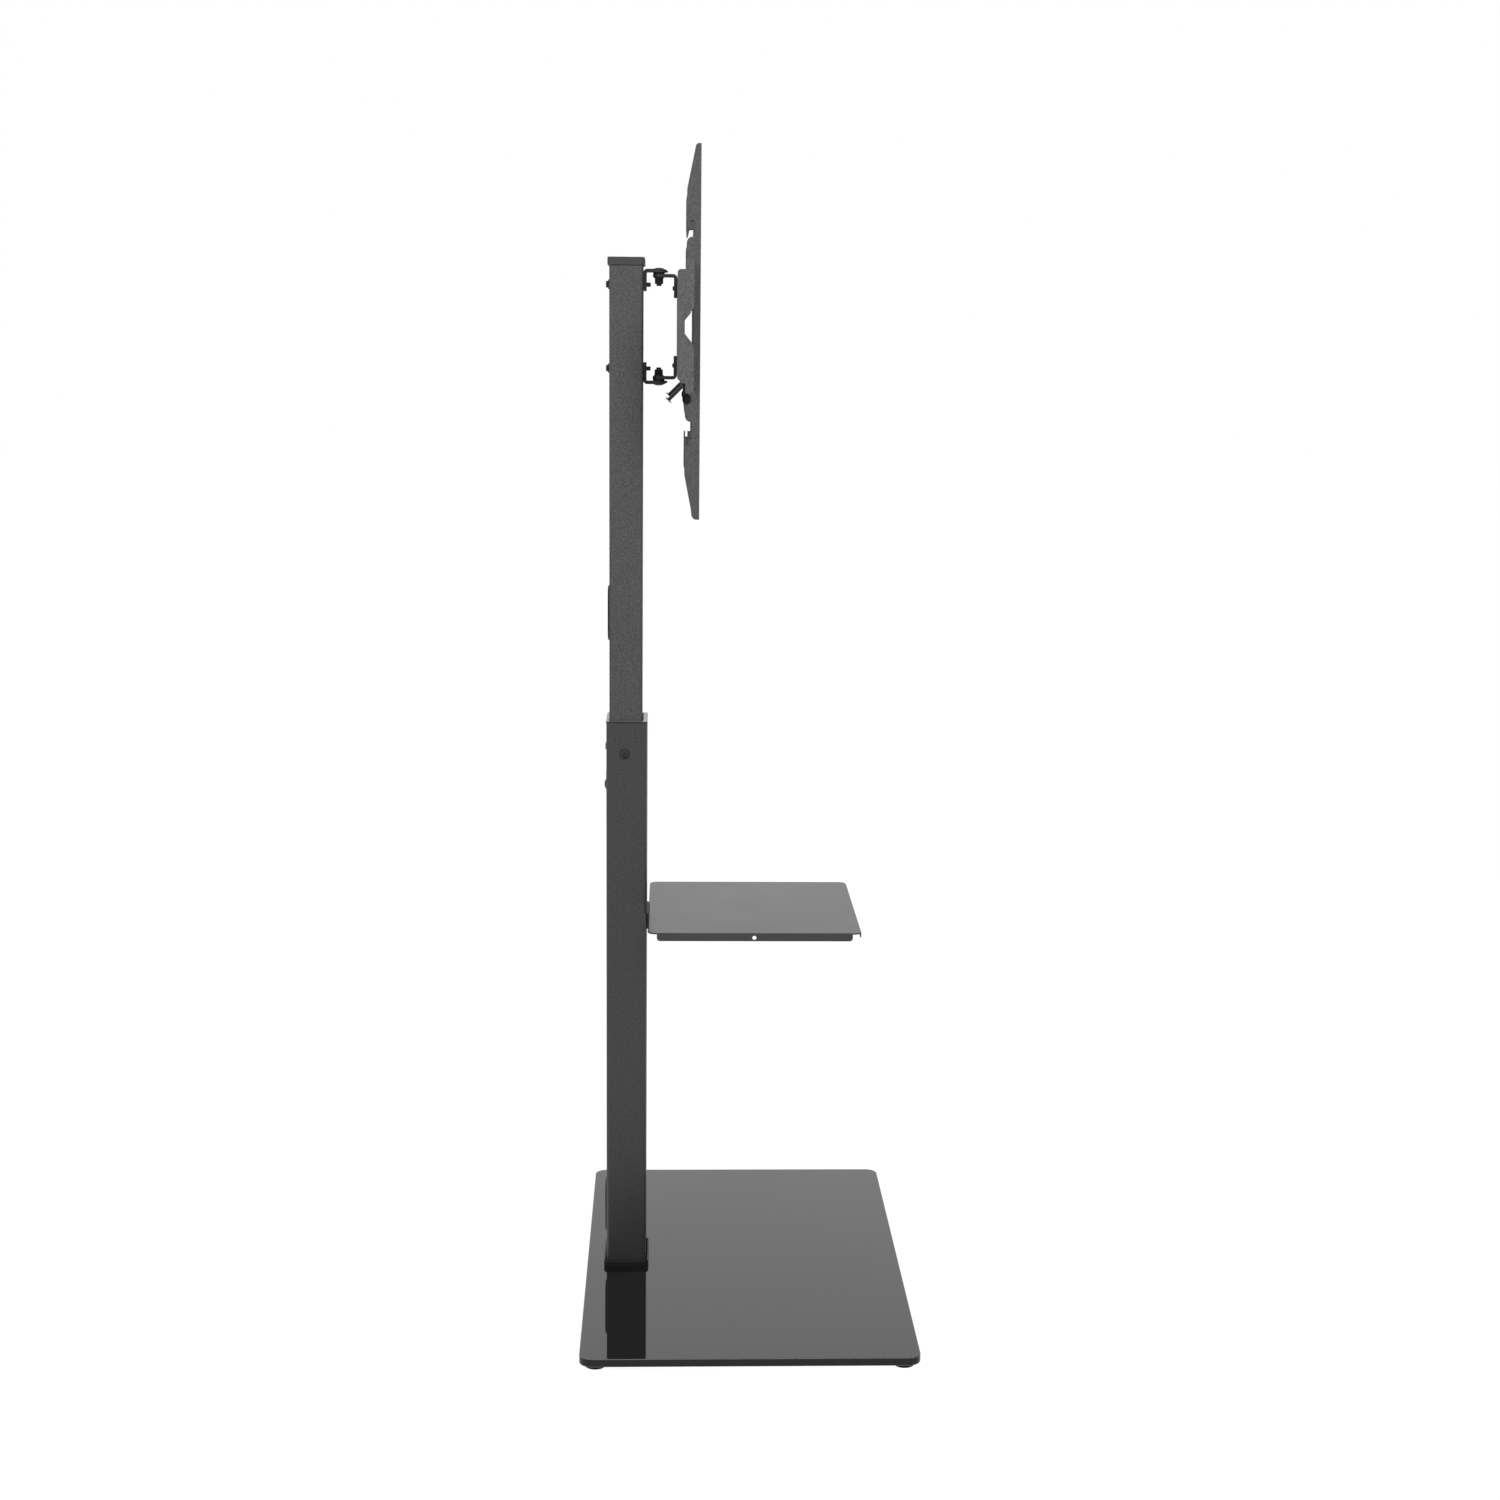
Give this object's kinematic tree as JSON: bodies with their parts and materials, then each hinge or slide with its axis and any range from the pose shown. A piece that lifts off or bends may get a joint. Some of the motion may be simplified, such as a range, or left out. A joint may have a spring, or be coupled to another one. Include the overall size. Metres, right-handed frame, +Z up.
{
  "type": "tv stand with mount",
  "caption": "Floor stand for a flat screen: black glass base, telescoping rectangular column, sheet-metal shelf and a swivelling head with sliding hook-on arms.",
  "frame": {"origin": "floor point under the middle of the glass base", "axes": "+Z up, -Y the side that the screen faces, +Y the column side, +X along the glass width"},
  "size_m": [0.6, 0.4, 1.4005],
  "materials": {
    "black_glass": "polished, nearly opaque black",
    "black_rubber": "matte",
    "zinc_steel": "zinc plated",
    "black_plastic": "fine grain",
    "black_coat": "satin powder coat",
    "shelf_coat": "satin powder coat",
    "grey_coat": "satin powder coat",
    "black_screw": "black oxide"
  },
  "bodies": {
    "base": {"glass_base": "black_glass", "rubber_feet": "black_rubber", "clamp_pad": "black_rubber", "clamp_plate": "zinc_steel", "base_bolts": "zinc_steel", "foot_gasket": "black_rubber", "foot_plate": "zinc_steel", "foot_collar": "black_plastic", "lower_column": "black_coat", "column_sleeve": "black_plastic", "lower_grommet": "black_plastic", "rear_clamp_screws": "black_screw", "washer_plate": "black_screw", "side_clamp_screws": "black_screw", "shelf_bracket": "black_coat", "shelf_bracket_bolts": "black_screw", "nut_strip": "zinc_steel", "shelf": "shelf_coat", "shelf_nuts": "zinc_steel"},
    "mast": {"upper_column": "black_coat", "top_cap": "black_plastic", "column_glide": "black_plastic", "upper_grommet": "black_plastic", "upper_column_bracket": "black_coat", "lower_column_bracket": "black_coat", "through_bolts": "black_screw", "through_bolt_washers": "black_screw", "pivot_bolts": "black_screw", "friction_washers": "black_plastic", "pivot_washers": "black_screw", "pivot_nuts": "black_screw"},
    "head": {"upper_head_bracket": "black_coat", "lower_head_bracket": "black_coat", "head_plate_screws": "black_screw", "head_plate": "grey_coat"},
    "left_arm_set": {"left_arm": "grey_coat", "left_safety_screw": "black_screw", "left_hook_clip": "black_plastic"},
    "right_arm_set": {"right_arm": "grey_coat", "right_safety_screw": "black_screw", "right_hook_clip": "black_plastic"}
  },
  "joints": [
    {"name": "height_slide", "type": "slide", "parent": "base", "child": "mast", "axis": [0, 0, 1], "range_m": [-0.09, 0.15]},
    {"name": "head_swivel", "type": "hinge", "parent": "mast", "child": "head", "pos_m": [0, 0.1128, 1.1964], "axis": [0, 0, 1], "range_deg": [-45, 45]},
    {"name": "left_arm_slide", "type": "slide", "parent": "head", "child": "left_arm_set", "axis": [-1, 0, 0], "range_m": [-0.05, 0.1]},
    {"name": "right_arm_slide", "type": "slide", "parent": "head", "child": "right_arm_set", "axis": [1, 0, 0], "range_m": [-0.05, 0.1]}
  ]
}
